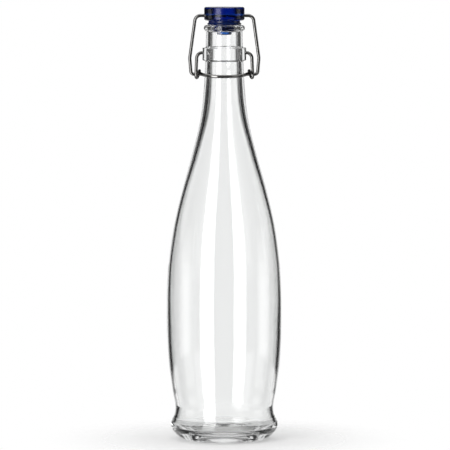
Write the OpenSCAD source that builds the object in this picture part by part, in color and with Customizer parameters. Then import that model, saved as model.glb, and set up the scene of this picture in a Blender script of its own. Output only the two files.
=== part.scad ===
// One-litre clear glass bottle with a swing-top closure.
// Origin: centre of the foot. +Z up. The lever's bow is at the front, at -Y. Hinges lie along X.
// The closure is drawn shut. All sizes are in millimetres.

/* [Bottle] */
// Height of the lip's top above the table
lip_z = 307; // [300:0.5:314]
// Widest diameter of the body
body_d = 85.4; // [80:0.2:92]
// Height of the widest part
body_z = 90; // [80:1:100]
// Diameter of the waist above the heel
waist_d = 73.6; // [70:0.2:75]
// Height of the waist
waist_z = 21.2; // [20.5:0.1:23]
// Diameter of the rounded heel
heel_d = 79.3; // [78:0.1:81]
// Height of the heel's widest part
heel_z = 10.8; // [10:0.1:12]
// Outer diameter of the ring that the bottle stands on
foot_d = 56; // [50:1:62]
// Height of the hollow under the base
punt_h = 7; // [5:0.5:9]
// Thickness of the glass in the body
wall = 2.8; // [2.2:0.1:3.4]

/* [Neck] */
// Outer diameter of the neck between the collar and the lip
neck_d = 26.9; // [26:0.1:27.5]
// Diameter of the mouth
mouth_d = 20; // [19.8:0.1:20.6]
// Outer diameter of the lip
lip_d = 30.4; // [29:0.1:30.6]
// Height of the rounded lip
lip_h = 4.5; // [3.5:0.1:5]
// Outer diameter of the collar that carries the lever
collar_d = 32.6; // [31:0.1:33]
// Height of the collar
collar_h = 9.6; // [9:0.1:10]
// Height of the collar's lower edge above the table
collar_z = 280.8; // [279:0.1:282]
// Depth of the two dimples in the collar
dimple_depth = 3; // [2:0.1:3.4]

/* [Stopper] */
// Diameter of the head
head_d = 29.9; // [27:0.1:32]
// Height of the head's rim
head_h = 9.9; // [9:0.1:10.5]
// Height of the dome on top of the head
dome_h = 0.2; // [0.1:0.1:1]
// Widest diameter of the gasket
brim_d = 25.2; // [24:0.1:27]
// Diameter of the gasket's lower end, inside the mouth
plug_d = 18.2; // [15:0.1:19]
// Diameter of the knob that holds the gasket on
knob_d = 10.8; // [9.5:0.1:12]

/* [Wires] */
// Diameter of both wires
wire_d = 2.4; // [2:0.05:2.4]
// Distance from the lever's pins down to its eyes
lever_arm = 16; // [15:0.1:17]
// Distance from the eyes up to the wire's hole in the head
bail_arm = 43.3; // [43:0.1:43.6]
// How far the eyes rest behind the pins, which keeps the closure shut
over_centre = 0.8; // [0.2:0.1:1]
// Reach of the bow in front of the bottle's axis
bow_reach = 21; // [20.8:0.1:22]
// Drop of the bow below the pins
bow_drop = 16.9; // [16.9:0.1:18]

/* [Hidden] */

$fn = 72;
curve_steps = 5;          // straight steps between two knots of an outline
running_gap = 0.1;        // radial gap around a wire that turns
seal_gap = 0.15;          // gap left between the gasket and the lip
bend_swell = 0.06;        // a bent wire is this much thicker than a straight one
bend_lap = 0.12;          // length of straight wire that runs into each bend

// Heights along the closure
pin_z = collar_z + 5.8;
eye_z = pin_z - lever_arm;
hole_z = eye_z + bail_arm;
head_z = hole_z - 3.6;    // underside of the head
brim_z = lip_z + seal_gap;
plug_z = lip_z - 4.5;     // lower end of the gasket
knob_z = plug_z - 2.8;    // lower end of the knob

// Widths of the wires' bends, from the bottle's axis to the wire's middle
pin_x = collar_d / 2 - dimple_depth + 0.3;
lever_x = 21;
bow_x = 18.2;
bail_top_x = 21.2;
bail_knee = [25.5, 12];    // half width, and height above the eyes
bail_foot_x = 24.5;
hook_x = 16.3;

// Glass: thickness in the neck, at the middle of the base, and corner radii
neck_flare = 0.6;         // the neck is this much wider, in radius, below the collar
neck_wall = (neck_d - mouth_d) / 2;
base_wall = 4.5;
lip_r = 2.2;
mouth_r = 1.2;
collar_r = 0.8;

// ---------- outlines ----------

function chord(p, i) = norm(p[i + 1] - p[i]);
function step_slope(p, i) = (p[i + 1] - p[i]) / chord(p, i);

// Direction of a smooth curve at knot i: both neighbouring steps, the shorter one counting more.
function slope(p, i) =
    i == 0 ? step_slope(p, 0) :
    i == len(p) - 1 ? step_slope(p, i - 1) :
    let (a = chord(p, i - 1), b = chord(p, i))
    (step_slope(p, i - 1) * b + step_slope(p, i) * a) / (a + b);

// Point at fraction t of the step from knot i to the next
function on_curve(p, i, t) =
    let (h = chord(p, i), u = 1 - t)
    p[i] * u * u * (1 + 2 * t) + p[i + 1] * t * t * (3 - 2 * t)
    + slope(p, i) * h * t * u * u - slope(p, i + 1) * h * t * t * u;

function curve(p, steps = curve_steps) = concat(
    [for (i = [0 : len(p) - 2], k = [0 : steps - 1]) on_curve(p, i, k / steps)],
    [p[len(p) - 1]]);

// Points of a quarter-round or any other arc, from angle a to angle b
function arc(centre, r, a, b, steps = 6) =
    [for (k = [0 : steps]) centre + r * [cos(a + (b - a) * k / steps), sin(a + (b - a) * k / steps)]];

function mix(a, b, f) = a + (b - a) * f;

// Outside of the glass from the foot up to the underside of the collar
function outside_knots() =
    let (foot = foot_d / 2, heel = heel_d / 2, waist = waist_d / 2, body = body_d / 2,
         neck = neck_d / 2 + neck_flare)
    concat(
        [[foot, 0], [foot + 4.9, 1.8], [heel - 3, 4.9], [heel - 0.6, 8.6], [heel, heel_z],
         [heel - 0.7, heel_z + 3.7], [waist + 0.8, waist_z - 3.6], [waist, waist_z]],
        [for (k = [[0.23, 0.34], [0.5, 0.77], [0.76, 0.96]])
            [mix(waist, body, k.y), mix(waist_z, body_z, k.x)]],
        [[body, body_z]],
        [for (k = [[0.12, 0.99], [0.22, 0.95], [0.36, 0.82], [0.5, 0.6], [0.64, 0.34],
                   [0.78, 0.12], [0.9, 0.034]])
            [mix(neck, body, k.y), mix(body_z, collar_z, k.x)]],
        [[neck, collar_z]]);

// Thickness of the glass at a height: blown thin above the widest part, thickest below the collar
function glass_wall(z) = lookup(z, [
    [80, wall], [130, 0.75 * wall], [180, 0.93 * wall], [230, neck_wall - 0.05],
    [252, neck_wall + 0.45], [collar_z, neck_wall + 0.15]]);

// Inside of the glass from the mouth down to the heel: the outside, moved in by the wall
function inside_body() =
    let (outside = curve(outside_knots()))
    [for (i = [len(outside) - 1 : -1 : 0])
        if (outside[i].y > heel_z + 3.8) [outside[i].x - glass_wall(outside[i].y), outside[i].y]];

function inside_floor() =
    let (heel = heel_d / 2 - wall, top = punt_h + base_wall)
    curve([[heel - 0.7, heel_z + 3.7], [heel - 0.2, heel_z + 1.6], [heel - 1.2, heel_z - 1],
           [heel - 3.6, heel_z - 2.6], [heel - 9, top - 4.1], [heel - 16, top - 3.7],
           [heel - 25, top - 1.3], [5, top - 0.1], [0, top]]);

function underside() =
    let (ring = foot_d / 2 - 3.5)
    curve([[0, punt_h], [4, punt_h - 0.1], [ring - 10, punt_h * 0.74], [ring - 2, 1], [ring, 0]]);

function collar_outline() =
    let (r = collar_d / 2 - collar_r)
    concat(
        arc([r, collar_z + collar_r], collar_r, -90, 0),
        arc([r, collar_z + collar_h - collar_r], collar_r, 0, 90));

function lip_outline() =
    let (r = lip_d / 2 - lip_r, bottom = lip_z - lip_h)
    concat(
        [[neck_d / 2 + neck_flare / 2, collar_z + collar_h], [neck_d / 2, bottom]],
        arc([r, bottom + lip_r], lip_r, -80, 0),
        arc([r, lip_z - lip_r], lip_r, 0, 90),
        arc([mouth_d / 2 + mouth_r, lip_z - mouth_r], mouth_r, 90, 180));

// ---------- wires ----------

function unit(v) = v / norm(v);
function across(v) = unit(cross(v, abs(v.z) < 0.7 ? [0, 0, 1] : [1, 0, 0]));

// Length of straight wire that a bend of radius r takes at corner i
function bend_cut(p, r, i) =
    i == 0 || i == len(p) - 1 ? 0 :
    r[i] * tan(acos(unit(p[i] - p[i - 1]) * unit(p[i + 1] - p[i])) / 2);

// Where the straight stretch ends at corner i: at the wire's end, or just inside the bend
function run_out(p, r, i) =
    i == 0 || i == len(p) - 1 ? 0 : bend_cut(p, r, i) - bend_lap;

module placed(x, y, z, at)
    multmatrix([[x.x, y.x, z.x, at.x], [x.y, y.y, z.y, at.y], [x.z, y.z, z.z, at.z], [0, 0, 0, 1]])
        children();

module straight(a, b) {
    along = unit(b - a);
    side = across(along);
    placed(side, cross(along, side), along, a)
        cylinder(h = norm(b - a), d = wire_d);
}

module bend(corner, before, after, r, cut) {
    inward = unit(after - (before * after) * before);
    placed(-inward, before, cross(before, inward), corner - before * cut + inward * r)
        rotate_extrude(angle = acos(before * after))
            translate([r, 0]) circle(d = wire_d + bend_swell);
}

// Round wire through the corners p, with bends of radius r[i]
module wire(p, r) {
    for (i = [0 : len(p) - 2]) {
        along = unit(p[i + 1] - p[i]);
        straight(p[i] + along * run_out(p, r, i), p[i + 1] - along * run_out(p, r, i + 1));
    }
    for (i = [1 : len(p) - 2])
        bend(p[i], unit(p[i] - p[i - 1]), unit(p[i + 1] - p[i]), r[i], bend_cut(p, r, i));
}

function mirrored(p) = [for (i = [len(p) - 1 : -1 : 0]) [-p[i].x, p[i].y, p[i].z]];
function reversed(r) = [for (i = [len(r) - 1 : -1 : 0]) r[i]];

// ---------- pieces ----------

module bottle() {
    color([0.85, 0.92, 0.93, 0.45])
        difference() {
            rotate_extrude()
                polygon(concat(underside(), curve(outside_knots()), collar_outline(),
                               lip_outline(), inside_body(), inside_floor()));
            for (side = [-1, 1])
                translate([side * (collar_d / 2 - dimple_depth), 0, pin_z])
                    rotate([0, side * 90, 0])
                        cylinder(h = dimple_depth + 1, d = wire_d + 2 * running_gap);
        }
}

module stopper_head() {
    top_edge_r = 1.3;
    bottom_edge_r = 1.5;
    stem_r = 4.6;
    rim = head_d / 2 - top_edge_r;
    rim_top = head_z + head_h;
    color([0.04, 0.09, 0.5, 0.9])
        difference() {
            rotate_extrude()
                polygon(concat(
                    [[0, knob_z], [knob_d / 2 - 1, knob_z]],
                    arc([knob_d / 2 - 0.8, knob_z + 0.8], 0.8, -60, 0, 4),
                    [[knob_d / 2, plug_z], [stem_r, plug_z], [stem_r, head_z]],
                    arc([head_d / 2 - bottom_edge_r, head_z + bottom_edge_r], bottom_edge_r, -90, 0),
                    arc([rim, rim_top - top_edge_r], top_edge_r, 0, 90),
                    [for (k = [1 : 6]) [rim * (1 - k / 6), rim_top + dome_h * sin(15 * k)]]));
            translate([-head_d, 0, hole_z])
                rotate([0, 90, 0])
                    cylinder(h = 2 * head_d, d = wire_d + 2 * running_gap);
        }
}

module stopper_gasket() {
    shoulder_r = 11.7;
    bore_r = 4.6;
    seat_r = mouth_d / 2 - 0.5;
    color([0.03, 0.06, 0.4])
        rotate_extrude()
            polygon([[bore_r, plug_z], [plug_d / 2 - 0.6, plug_z], [plug_d / 2, plug_z + 0.6],
                     [seat_r, brim_z - 0.5], [seat_r + 0.5, brim_z], [brim_d / 2 - 0.3, brim_z],
                     [brim_d / 2, brim_z + 0.4], [shoulder_r, brim_z + 1.7],
                     [shoulder_r, head_z], [bore_r, head_z]]);
}

module bail_wire() {
    lean = over_centre / bail_arm;
    knee_y = over_centre - lean * bail_knee.y;
    side = [[bail_top_x, 0, hole_z], [bail_knee.x, knee_y, eye_z + bail_knee.y],
            [bail_foot_x, over_centre, eye_z], [hook_x, over_centre, eye_z]];
    bends = [4.2, 9, 2.3, 0];
    color("silver")
        wire(concat(mirrored(side), side), concat(reversed(bends), bends));
}

module lever_wire() {
    // Distance from the eye's middle to the middle of the wire around it
    around = wire_d + running_gap;
    eye_top = eye_z + around;
    bow_z = pin_z - bow_drop;
    // The leg slopes forwards, so that it passes the eye at that distance
    lean = asin(around / norm([over_centre, lever_arm])) - atan(over_centre / lever_arm);
    leg_y = -(lever_arm + around) * tan(lean);
    // The wire leaves the top of the eye towards the front, sloping down to the bow
    drop = atan((eye_top - bow_z) / (bow_reach + over_centre));
    back_z = eye_z + around * (tan(drop) + 1 / cos(drop));
    side = [[pin_x, 0, pin_z], [lever_x - 0.8, 0, pin_z],
            [lever_x, leg_y, eye_z - around],
            [mix(lever_x, bow_x, 0.4), over_centre + around, eye_z - around],
            [bow_x + 0.1, over_centre + around, back_z],
            [bow_x, -bow_reach, bow_z]];
    bends = [0, 4.3, 2.3, 2.3, 2.3, 16];
    color("silver")
        wire(concat(side, mirrored(side)), concat(bends, reversed(bends)));
}

bottle();
stopper_head();
stopper_gasket();
bail_wire();
lever_wire();
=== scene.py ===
"""Studio scene of a clear glass swing-top bottle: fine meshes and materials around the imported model."""
import math

import bpy
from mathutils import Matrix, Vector, noise


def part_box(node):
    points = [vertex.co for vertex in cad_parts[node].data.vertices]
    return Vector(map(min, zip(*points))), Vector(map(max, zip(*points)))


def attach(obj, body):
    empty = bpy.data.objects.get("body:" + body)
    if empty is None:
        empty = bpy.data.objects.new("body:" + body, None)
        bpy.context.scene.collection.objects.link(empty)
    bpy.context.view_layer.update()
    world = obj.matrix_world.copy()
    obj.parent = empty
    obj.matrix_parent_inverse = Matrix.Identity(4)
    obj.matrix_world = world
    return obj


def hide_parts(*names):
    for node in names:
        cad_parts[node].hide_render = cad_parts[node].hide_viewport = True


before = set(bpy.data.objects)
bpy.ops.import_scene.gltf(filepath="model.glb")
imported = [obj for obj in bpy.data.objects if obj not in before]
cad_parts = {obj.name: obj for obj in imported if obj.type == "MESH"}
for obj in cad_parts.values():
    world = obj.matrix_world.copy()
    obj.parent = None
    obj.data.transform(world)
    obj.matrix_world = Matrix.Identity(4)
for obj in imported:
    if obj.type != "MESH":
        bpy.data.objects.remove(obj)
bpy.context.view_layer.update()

# ---------- sizes, in millimetres ----------

MM = 0.001


def box_mm(node):
    low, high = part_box(node)
    return low / MM, high / MM


_, bottle_high = box_mm("bottle")
head_low, head_high = box_mm("stopper_head")
gasket_low, gasket_high = box_mm("stopper_gasket")

# Bottle
LIP_Z = bottle_high.z
BODY_R = bottle_high.x
BODY_Z = 90
WAIST_R = 36.8
WAIST_Z = 21.2
HEEL_R = 39.65
HEEL_Z = 10.8
FOOT_R = 28
PUNT_H = 7
WALL = 2.8
# Heights with the wall's thickness there
WALLS = [(80, WALL), (130, 2.1), (180, 2.6), (230, 3.4), (252, 3.9), (281.3, 3.6)]
BASE_WALL = 4.5
UNEVENNESS = 0.1

# Neck
NECK_R = 13.45
NECK_FLARE = 0.6
MOUTH_R = 10
LIP_R = 15.2
LIP_H = 4.5
COLLAR_R = 16.3
COLLAR_Z = 280.8
COLLAR_H = 9.6
COLLAR_EDGE_R = 0.8
DIMPLE_DEPTH = 3

# Stopper
HEAD_R = head_high.x
HEAD_TOP = head_high.z
HEAD_Z = gasket_high.z
EDGE_R = 1.3
DOME_H = 0.2
HOLE_Z = HEAD_Z + 3.6
STEM_R = 4.6
KNOB_R = 5.4
KNOB_Z = head_low.z
GASKET_R = 11.7
BRIM_R = gasket_high.x
BRIM_Z = LIP_Z + 0.15
PLUG_R = 9.1
PLUG_Z = gasket_low.z

# Wires
WIRE_R = 1.2
RUNNING_GAP = 0.1
PIN_Z = 286.6
LEVER_ARM = 16
EYE_Z = PIN_Z - LEVER_ARM
OVER_CENTRE = 0.8
TIGHT_BEND = 2.3

# Bail
BAIL_TOP_X = 21.2
KNEE_X = 25.5
KNEE_H = 12
BAIL_FOOT_X = 24.5
BAIL_END_X = 16.3

# Lever
LEVER_X = 21
LEVER_END_X = 13.5
BOW_X = 18.2
BOW_REACH = 21
BOW_Z = PIN_Z - 16.9


# ---------- curves ----------

def mix(a, b, f):
    return a + (b - a) * f


def curve(knots, steps):
    """Smooth curve through the knots: cubic steps whose slopes weigh both neighbouring chords."""
    p = [Vector(k) for k in knots]
    chord = [(b - a).length for a, b in zip(p, p[1:])]
    heading = [(b - a) / c for a, b, c in zip(p, p[1:], chord)]
    slope = [heading[0]]
    for i in range(1, len(p) - 1):
        a, b = chord[i - 1], chord[i]
        slope.append((heading[i - 1] * b + heading[i] * a) / (a + b))
    slope.append(heading[-1])
    points = []
    for i, h in enumerate(chord):
        for k in range(steps):
            t = k / steps
            u = 1 - t
            points.append(p[i] * u * u * (1 + 2 * t) + p[i + 1] * t * t * (3 - 2 * t)
                          + slope[i] * h * t * u * u - slope[i + 1] * h * t * t * u)
    return points + [p[-1]]


def rounded(corners, radii, turn=math.radians(7)):
    """The path through the corners, each rounded by an arc of its radius, with a point at every turn."""
    path = [corners[0]]
    for before, corner, after, radius in zip(corners, corners[1:], corners[2:], radii[1:]):
        back = (before - corner).normalized()
        on = (after - corner).normalized()
        angle = math.pi - back.angle(on)
        if radius == 0 or angle < math.radians(0.5):
            path.append(corner)
            continue
        centre = corner + (back + on).normalized() * radius / math.cos(angle / 2)
        start = corner + back * radius * math.tan(angle / 2) - centre
        end = corner + on * radius * math.tan(angle / 2) - centre
        count = max(2, math.ceil(angle / turn))
        for k in range(count + 1):
            t = k / count
            arm = start * math.sin((1 - t) * angle) + end * math.sin(t * angle)
            path.append(centre + arm / math.sin(angle))
    return path + [corners[-1]]


def filled_in(path, longest):
    """The path with points added, so that no step is longer than the longest."""
    points = [path[0]]
    for a, b in zip(path, path[1:]):
        count = max(1, math.ceil((b - a).length / longest))
        points += [a.lerp(b, k / count) for k in range(1, count + 1)]
    return points


def outline(corners, longest):
    """Outline to turn about Z, from rows of radius, height and, for a rounded corner, its radius."""
    points = [Vector((c[0], 0, c[1])) for c in corners]
    radii = [c[2] if len(c) > 2 else 0 for c in corners]
    return filled_in(rounded(points, radii), longest)


# ---------- meshes ----------

def new_piece(name, verts, faces):
    mesh = bpy.data.meshes.new(name)
    mesh.from_pydata([v * MM for v in verts], [], faces)
    mesh.polygons.foreach_set("use_smooth", [True] * len(mesh.polygons))
    mesh.update()
    piece = bpy.data.objects.new(name, mesh)
    bpy.context.scene.collection.objects.link(piece)
    return piece


def lathe(name, points, segments, closed=False, radius_at=None):
    """Turns an outline about Z, with a pole on the axis. radius_at(index, angle) can vary the radius."""
    verts, rings, faces = [], [], []
    for i, p in enumerate(points):
        if p.x < 1e-6:
            rings.append([len(verts)] * segments)
            verts.append(p.copy())
            continue
        rings.append(range(len(verts), len(verts) + segments))
        for k in range(segments):
            angle = 2 * math.pi * k / segments
            r = radius_at(i, angle) if radius_at else p.x
            verts.append(Vector((r * math.cos(angle), r * math.sin(angle), p.z)))
    pairs = list(zip(rings, rings[1:])) + ([(rings[-1], rings[0])] if closed else [])
    for low, high in pairs:
        for k in range(segments):
            n = (k + 1) % segments
            corners = list(dict.fromkeys((low[k], low[n], high[n], high[k])))
            faces.append(corners)
    return new_piece(name, verts, faces)


def tube(name, path, radius, sides=28):
    """Round wire along a path, with slightly domed ends, and UVs in metres along and around it."""
    ahead = [(b - a).normalized() for a, b in zip(path, path[1:])]
    along = [ahead[0]] + [(a + b).normalized() for a, b in zip(ahead, ahead[1:])] + [ahead[-1]]
    out = along[0].orthogonal().normalized()
    length = 0
    rings = []
    for i, (p, d) in enumerate(zip(path, along)):
        out = (out - d * out.dot(d)).normalized()
        length += (p - path[i - 1]).length if i else 0
        rings.append((p, d, out.copy(), radius, length))
    dome = [(0.25, 0.97), (0.5, 0.8), (0.62, 0.5)]
    first = [(p - d * radius * h, d, o, radius * w, s)
             for p, d, o, _, s in rings[:1] for h, w in reversed(dome)]
    last = [(p + d * radius * h, d, o, radius * w, s)
            for p, d, o, _, s in rings[-1:] for h, w in dome]
    rings = first + rings + last
    verts = []
    for p, d, o, r, _ in rings:
        side = d.cross(o)
        for k in range(sides):
            angle = 2 * math.pi * k / sides
            verts.append(p + (o * math.cos(angle) + side * math.sin(angle)) * r)
    faces = []
    for i in range(len(rings) - 1):
        for k in range(sides):
            a, b = i * sides + k, i * sides + (k + 1) % sides
            faces.append((a, b, b + sides, a + sides))
    faces.append(tuple(reversed(range(sides))))
    faces.append(tuple(range(len(verts) - sides, len(verts))))
    piece = new_piece(name, verts, faces)
    uv = piece.data.uv_layers.new(name="wire")
    for loop in piece.data.loops:
        ring, k = divmod(loop.vertex_index, sides)
        uv.data[loop.index].uv = (rings[ring][4] * MM, k / sides * 2 * math.pi * radius * MM)
    return piece


def drilled(piece, starts, ends, radius, sides=40):
    """Cuts round holes into a piece, each from its start to its end."""
    cutters = []
    for start, end in zip(starts, ends):
        along = (end - start).normalized()
        out = along.orthogonal().normalized()
        side = along.cross(out)
        turns = [2 * math.pi * k / sides for k in range(sides)]
        verts = [p + (out * math.cos(t) + side * math.sin(t)) * radius
                 for p in (start, end) for t in turns]
        faces = [(k, (k + 1) % sides, sides + (k + 1) % sides, sides + k) for k in range(sides)]
        faces += [tuple(reversed(range(sides))), tuple(range(sides, 2 * sides))]
        cutters.append(new_piece("cutter", verts, faces))
        hole = piece.modifiers.new("hole", "BOOLEAN")
        hole.operation = "DIFFERENCE"
        hole.solver = "EXACT"
        hole.object = cutters[-1]
    graph = bpy.context.evaluated_depsgraph_get()
    mesh = bpy.data.meshes.new_from_object(piece.evaluated_get(graph))
    piece.modifiers.clear()
    piece.data = mesh
    mesh.set_sharp_from_angle(angle=math.radians(50))
    for cutter in cutters:
        bpy.data.objects.remove(cutter)


# ---------- glass ----------

def outside_knots():
    neck = NECK_R + NECK_FLARE
    lower = [(mix(WAIST_R, BODY_R, w), mix(WAIST_Z, BODY_Z, h))
             for h, w in ((0.23, 0.34), (0.5, 0.77), (0.76, 0.96))]
    shoulder = [(mix(neck, BODY_R, w), mix(BODY_Z, COLLAR_Z, h))
                for h, w in ((0.12, 0.99), (0.22, 0.95), (0.36, 0.82), (0.5, 0.6), (0.64, 0.34),
                             (0.78, 0.12), (0.9, 0.034))]
    return [(FOOT_R, 0), (FOOT_R + 4.9, 1.8), (HEEL_R - 3, 4.9), (HEEL_R - 0.6, 8.6), (HEEL_R, HEEL_Z),
            (HEEL_R - 0.7, HEEL_Z + 3.7), (WAIST_R + 0.8, WAIST_Z - 3.6), (WAIST_R, WAIST_Z),
            *lower, (BODY_R, BODY_Z), *shoulder, (neck, COLLAR_Z)]


def glass_wall(z):
    """Thickness of the glass at a height: blown thin below the shoulder, thick in the neck."""
    if z < WALLS[0][0]:
        return WALL
    for (low, thin), (high, thick) in zip(WALLS, WALLS[1:]):
        if z <= high:
            return mix(thin, thick, (z - low) / (high - low))
    return WALLS[-1][1]


def inside_floor():
    heel = HEEL_R - WALL
    top = PUNT_H + BASE_WALL
    knots = [(heel - 0.7, HEEL_Z + 3.7), (heel - 0.2, HEEL_Z + 1.6), (heel - 1.2, HEEL_Z - 1),
             (heel - 3.6, HEEL_Z - 2.6), (heel - 9, top - 4.1), (heel - 16, top - 3.7),
             (heel - 25, top - 1.3), (5, top - 0.1), (0, top)]
    return curve(knots, 8)


def underside():
    ring = FOOT_R - 3.5
    knots = [(0, PUNT_H), (4, PUNT_H - 0.1), (ring - 10, PUNT_H * 0.74), (ring - 2, 1), (ring, 0)]
    return curve(knots, 8)


def make_bottle():
    outside = curve(outside_knots(), 12)
    collar_top = COLLAR_Z + COLLAR_H
    finish = [(COLLAR_R, COLLAR_Z, COLLAR_EDGE_R), (COLLAR_R, collar_top, COLLAR_EDGE_R),
              (NECK_R + NECK_FLARE / 2, collar_top, COLLAR_EDGE_R), (NECK_R, LIP_Z - LIP_H, 0.6),
              (LIP_R, LIP_Z - LIP_H, 2.1), (LIP_R, LIP_Z, 2.2), (MOUTH_R, LIP_Z, 1.2)]
    inside = [(p.x - glass_wall(p.y), p.y) for p in reversed(outside) if p.y > HEEL_Z + 3.8]
    corner = (*outside[-1], COLLAR_EDGE_R)
    corners = [*underside(), *outside[:-1], corner, *finish, *inside, *inside_floor()]
    points = outline(corners, longest=1.2)
    lip = max(range(len(points)), key=lambda i: points[i].z)
    even_h = 60
    pole_r = 2

    def radius_at(i, angle):
        """The inside of blown glass is a little uneven: least near the mouth, and not at the pole."""
        p = points[i]
        if i < lip or p.x < pole_r:
            return p.x
        depth = UNEVENNESS * min(1, (LIP_Z - p.z) / even_h)
        around = Vector((math.cos(angle), math.sin(angle), p.z / 70)) * 1.7
        return p.x + depth * noise.noise(around)

    bottle = lathe("glass_bottle", points, segments=256, radius_at=radius_at)
    bottom = COLLAR_R - DIMPLE_DEPTH
    drilled(bottle, [Vector((s * bottom, 0, PIN_Z)) for s in (-1, 1)],
            [Vector((s * (COLLAR_R + 2), 0, PIN_Z)) for s in (-1, 1)], WIRE_R + RUNNING_GAP)
    return bottle


# ---------- stopper ----------

def make_head():
    rim_top = HEAD_TOP - DOME_H
    rim = HEAD_R - EDGE_R
    turns = [math.radians(9 * k) for k in range(2, 11)]
    dome = [(rim * math.cos(t), rim_top + DOME_H * math.sin(t)) for t in turns]
    corners = [(0, KNOB_Z), (KNOB_R, KNOB_Z, 0.9), (KNOB_R, PLUG_Z, 0.3), (STEM_R, PLUG_Z, 0.2),
               (STEM_R, HEAD_Z, 0.5), (HEAD_R, HEAD_Z, 1.5), (HEAD_R, rim_top, EDGE_R), *dome]
    head = lathe("stopper_cap", outline(corners, longest=0.6), segments=144)
    reach = Vector((HEAD_R + 2, 0, 0))
    middle = Vector((0, 0, HOLE_Z))
    drilled(head, [middle - reach], [middle + reach], WIRE_R + RUNNING_GAP)
    return head


def make_gasket():
    bore = STEM_R + 0.05
    seat = MOUTH_R - 0.5
    corners = [(bore, PLUG_Z + 2), (bore, PLUG_Z, 0.2), (PLUG_R, PLUG_Z, 0.7), (seat, BRIM_Z, 0.5),
               (BRIM_R, BRIM_Z, 0.5), (BRIM_R, BRIM_Z + 0.9, 0.4), (GASKET_R, BRIM_Z + 1.6, 0.5),
               (GASKET_R, HEAD_Z, 0.3), (bore, HEAD_Z, 0.2)]
    return lathe("gasket_ring", outline(corners, longest=0.6), segments=144, closed=True)


# ---------- wires ----------

def mirrored(side, bends):
    """The whole wire's corners and bends from those of its right half, which starts at the middle."""
    left = [Vector((-p.x, p.y, p.z)) for p in reversed(side)]
    return left + side, list(reversed(bends)) + bends


def make_bail():
    knee_y = OVER_CENTRE * (1 - KNEE_H / (HOLE_Z - EYE_Z))
    side = [Vector((BAIL_TOP_X, 0, HOLE_Z)), Vector((KNEE_X, knee_y, EYE_Z + KNEE_H)),
            Vector((BAIL_FOOT_X, OVER_CENTRE, EYE_Z)), Vector((BAIL_END_X, OVER_CENTRE, EYE_Z))]
    corners, bends = mirrored(side, [4.2, 9, TIGHT_BEND, 0])
    return tube("bail", filled_in(rounded(corners, bends), 2), WIRE_R)


def make_lever():
    """A bow across the front, a turn round each of the bail's hooks, and legs up to the pins."""
    around = 2 * WIRE_R + RUNNING_GAP
    lean = math.asin(around / math.hypot(OVER_CENTRE, LEVER_ARM)) - math.atan(OVER_CENTRE / LEVER_ARM)
    leg_y = -(LEVER_ARM + around) * math.tan(lean)
    drop = math.atan((EYE_Z + around - BOW_Z) / (BOW_REACH + OVER_CENTRE))
    back_z = EYE_Z + around * (math.tan(drop) + 1 / math.cos(drop))
    side = [Vector((BOW_X, -BOW_REACH, BOW_Z)), Vector((BOW_X + 0.1, OVER_CENTRE + around, back_z)),
            Vector((mix(LEVER_X, BOW_X, 0.4), OVER_CENTRE + around, EYE_Z - around)),
            Vector((LEVER_X, leg_y, EYE_Z - around)), Vector((LEVER_X - 0.8, 0, PIN_Z)),
            Vector((LEVER_END_X, 0, PIN_Z))]
    corners, bends = mirrored(side, [16, TIGHT_BEND, TIGHT_BEND, TIGHT_BEND, 4.3, 0])
    return tube("lever", filled_in(rounded(corners, bends), 2), WIRE_R)


# ---------- materials ----------

def add(tree, kind, values=None, **settings):
    """A new node with its settings, and its inputs set or linked by name or number."""
    node = tree.nodes.new(kind)
    for key, value in settings.items():
        setattr(node, key, value)
    for key, value in (values or {}).items():
        if isinstance(value, bpy.types.NodeSocket):
            tree.links.new(value, node.inputs[key])
        else:
            node.inputs[key].default_value = value
    return node


def material(name, values):
    """A material with one Principled shader; returns it with its tree and shader."""
    made = bpy.data.materials.new(name)
    made.use_nodes = True
    shader = made.node_tree.nodes["Principled BSDF"]
    for key, value in values.items():
        shader.inputs[key].default_value = value
    return made, made.node_tree, shader


def pattern(tree, scale, stretch=(1, 1, 1), detail=2, uv=None):
    """Noise on the piece's own coordinates, in metres."""
    if uv:
        place = add(tree, "ShaderNodeUVMap", uv_map=uv).outputs["UV"]
    else:
        place = add(tree, "ShaderNodeTexCoord").outputs["Object"]
    scaled = add(tree, "ShaderNodeMapping", {"Vector": place, "Scale": stretch})
    made = add(tree, "ShaderNodeTexNoise",
               {"Vector": scaled.outputs[0], "Scale": scale, "Detail": detail})
    return made.outputs["Fac"]


def ranged(tree, value, low, high):
    made = add(tree, "ShaderNodeMapRange", {"Value": value, "To Min": low, "To Max": high})
    return made.outputs["Result"]


def bump(tree, shader, height, distance, strength):
    made = add(tree, "ShaderNodeBump", {"Height": height, "Distance": distance, "Strength": strength})
    tree.links.new(made.outputs["Normal"], shader.inputs["Normal"])


def glass():
    made, tree, shader = material("clear_glass", {
        "Base Color": (0.985, 0.99, 0.988, 1), "Roughness": 0, "IOR": 1.5,
        "Transmission Weight": 1})
    bump(tree, shader, pattern(tree, 90, stretch=(1, 1, 0.15)), 0.0002, 0.03)
    return made


def blue_plastic():
    made, tree, shader = material("blue_plastic", {
        "Base Color": (0.5, 0.65, 1, 1), "IOR": 1.49, "Transmission Weight": 1})
    tree.links.new(ranged(tree, pattern(tree, 400), 0.17, 0.23), shader.inputs["Roughness"])
    depth = add(tree, "ShaderNodeVolumeAbsorption", {"Color": (0.03, 0.5, 0.8, 1), "Density": 290})
    tree.links.new(depth.outputs[0], tree.nodes["Material Output"].inputs["Volume"])
    return made


def blue_rubber():
    made, tree, shader = material("blue_rubber", {"Base Color": (0.004, 0.01, 0.07, 1)})
    grain = pattern(tree, 1500, detail=4)
    tree.links.new(ranged(tree, grain, 0.15, 0.3), shader.inputs["Roughness"])
    bump(tree, shader, grain, 0.0001, 0.3)
    return made


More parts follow.
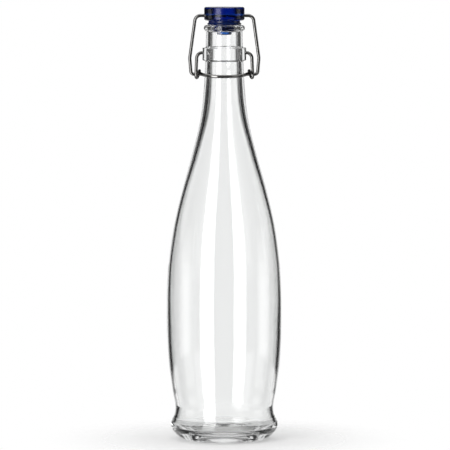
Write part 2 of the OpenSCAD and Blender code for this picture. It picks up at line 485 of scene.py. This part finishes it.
def steel():
    made, tree, shader = material("steel_wire", {
        "Base Color": (0.25, 0.246, 0.24, 1), "Metallic": 1, "Specular Tint": (0.3, 0.3, 0.3, 1)})
    drawn = pattern(tree, 900, stretch=(0.02, 1, 1), detail=3, uv="wire")
    tree.links.new(ranged(tree, drawn, 0.08, 0.2), shader.inputs["Roughness"])
    bump(tree, shader, drawn, 0.00005, 0.25)
    return made


# ---------- studio ----------

def make_camera():
    """Far off in front, above the stopper, and tilted down to the middle of the bottle."""
    place = Vector((0.0005, -3.2, 0.39))
    aim = Vector((0.0005, 0, 0.1591))
    frame_height = 0.3329
    data = bpy.data.cameras.new("camera")
    data.sensor_width = 36
    data.lens = data.sensor_width * (aim - place).length / frame_height
    data.clip_start = 0.1
    data.clip_end = 100
    camera = bpy.data.objects.new("camera", data)
    camera.location = place
    camera.rotation_euler = (aim - place).to_track_quat("-Z", "Y").to_euler()
    bpy.context.scene.collection.objects.link(camera)
    bpy.context.scene.camera = camera


def calc(tree, operation, *values):
    return add(tree, "ShaderNodeMath", dict(enumerate(values)), operation=operation).outputs[0]


def smooth(tree, value, low, high):
    made = add(tree, "ShaderNodeMapRange", {"Value": value, "From Min": low, "From Max": high},
               interpolation_type="SMOOTHSTEP")
    return made.outputs["Result"]


def make_world():
    """White panels behind and at each side, with dark gaps between, and none on the camera's side.

    Further down, the gaps are white and the side panels end. The sky overhead is white.
    """
    panels_around = 4
    world = bpy.data.worlds.new("studio")
    bpy.context.scene.world = world
    world.use_nodes = True
    tree = world.node_tree
    direction = add(tree, "ShaderNodeTexCoord").outputs["Generated"]
    parts = add(tree, "ShaderNodeSeparateXYZ", {0: direction}).outputs
    azimuth = calc(tree, "ARCTAN2", parts["X"], parts["Y"])
    wave = calc(tree, "COSINE", calc(tree, "MULTIPLY", azimuth, panels_around))
    low = smooth(tree, parts["Z"], -0.17, -0.2)
    behind = smooth(tree, parts["Y"], 0.3, 0.6)
    not_in_front = smooth(tree, parts["Y"], -0.75, -0.55)
    back = calc(tree, "MULTIPLY", smooth(tree, wave, -0.25, 0.65), behind)
    sides = calc(tree, "MULTIPLY", smooth(tree, wave, 0.4, 0.85), not_in_front)
    sides = calc(tree, "MULTIPLY", sides, calc(tree, "SUBTRACT", 1.0, low))
    panels = calc(tree, "MAXIMUM", back, sides)
    level = calc(tree, "MULTIPLY", panels, smooth(tree, parts["Z"], 0.25, 0.07))
    below = calc(tree, "MULTIPLY", smooth(tree, wave, 0.1, -0.85), low)
    sky = calc(tree, "MULTIPLY", smooth(tree, parts["Z"], 0.65, 0.8), 1.5)
    light = calc(tree, "MAXIMUM", level, calc(tree, "MAXIMUM", below, sky))
    radiance = add(tree, "ShaderNodeMapRange", {"Value": light, "To Min": 0.02}, clamp=False)
    seen = add(tree, "ShaderNodeLightPath").outputs["Is Camera Ray"]
    strength = calc(tree, "MAXIMUM", radiance.outputs[0], seen)
    shader = tree.nodes["Background"]
    shader.inputs["Color"].default_value = (1, 1, 1, 1)
    tree.links.new(strength, shader.inputs["Strength"])


def soft_box(name, azimuth, distance, low, high, width, radiance):
    """A tall soft light that faces the axis. Azimuth is in degrees from the camera's side towards +X."""
    turn = math.radians(azimuth)
    data = bpy.data.lights.new(name, "AREA")
    data.shape = "RECTANGLE"
    data.size = width
    data.size_y = high - low
    data.energy = radiance * math.pi * data.size * data.size_y
    lamp = bpy.data.objects.new(name, data)
    lamp.location = (distance * math.sin(turn), -distance * math.cos(turn), (low + high) / 2)
    lamp.rotation_euler = (math.pi / 2, 0, turn)
    lamp.visible_camera = False
    bpy.context.scene.collection.objects.link(lamp)


def make_floor():
    """A pale round table top that fades out into the white backdrop."""
    radius = 160
    rings = 16
    points = [Vector((radius * (1 - k / rings), 0, 0)) for k in range(rings + 1)]
    floor = lathe("floor", points, segments=96)
    made, tree, shader = material("floor", {"Base Color": (0.93, 0.93, 0.93, 1), "Roughness": 0.9})
    place = add(tree, "ShaderNodeTexCoord").outputs["Object"]
    away = add(tree, "ShaderNodeVectorMath", {0: place}, operation="LENGTH").outputs["Value"]
    fade = calc(tree, "MULTIPLY", smooth(tree, away, 0.14, 0.03), 0.6)
    tree.links.new(fade, shader.inputs["Alpha"])
    floor.data.materials.append(made)


# ---------- the scene ----------

def stand_in(piece, body, node, look):
    """The piece moves with the body and stands for the CAD node."""
    piece.data.materials.clear()
    piece.data.materials.append(look)
    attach(piece, body)
    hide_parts(node)


make_camera()
make_world()
soft_box("key_light", azimuth=-35, distance=0.9, low=-0.5, high=0.9, width=0.46, radiance=4)
make_floor()

wire_look = steel()
stand_in(make_bottle(), "bottle", "bottle", glass())
stand_in(make_head(), "stopper", "stopper_head", blue_plastic())
stand_in(make_gasket(), "stopper", "stopper_gasket", blue_rubber())
stand_in(make_bail(), "bail", "bail_wire", wire_look)
stand_in(make_lever(), "lever", "lever_wire", wire_look)

scene = bpy.context.scene
scene.view_settings.view_transform = "Standard"
scene.cycles.max_bounces = 32
scene.cycles.glossy_bounces = 16
scene.cycles.transmission_bounces = 24
scene.cycles.transparent_max_bounces = 16
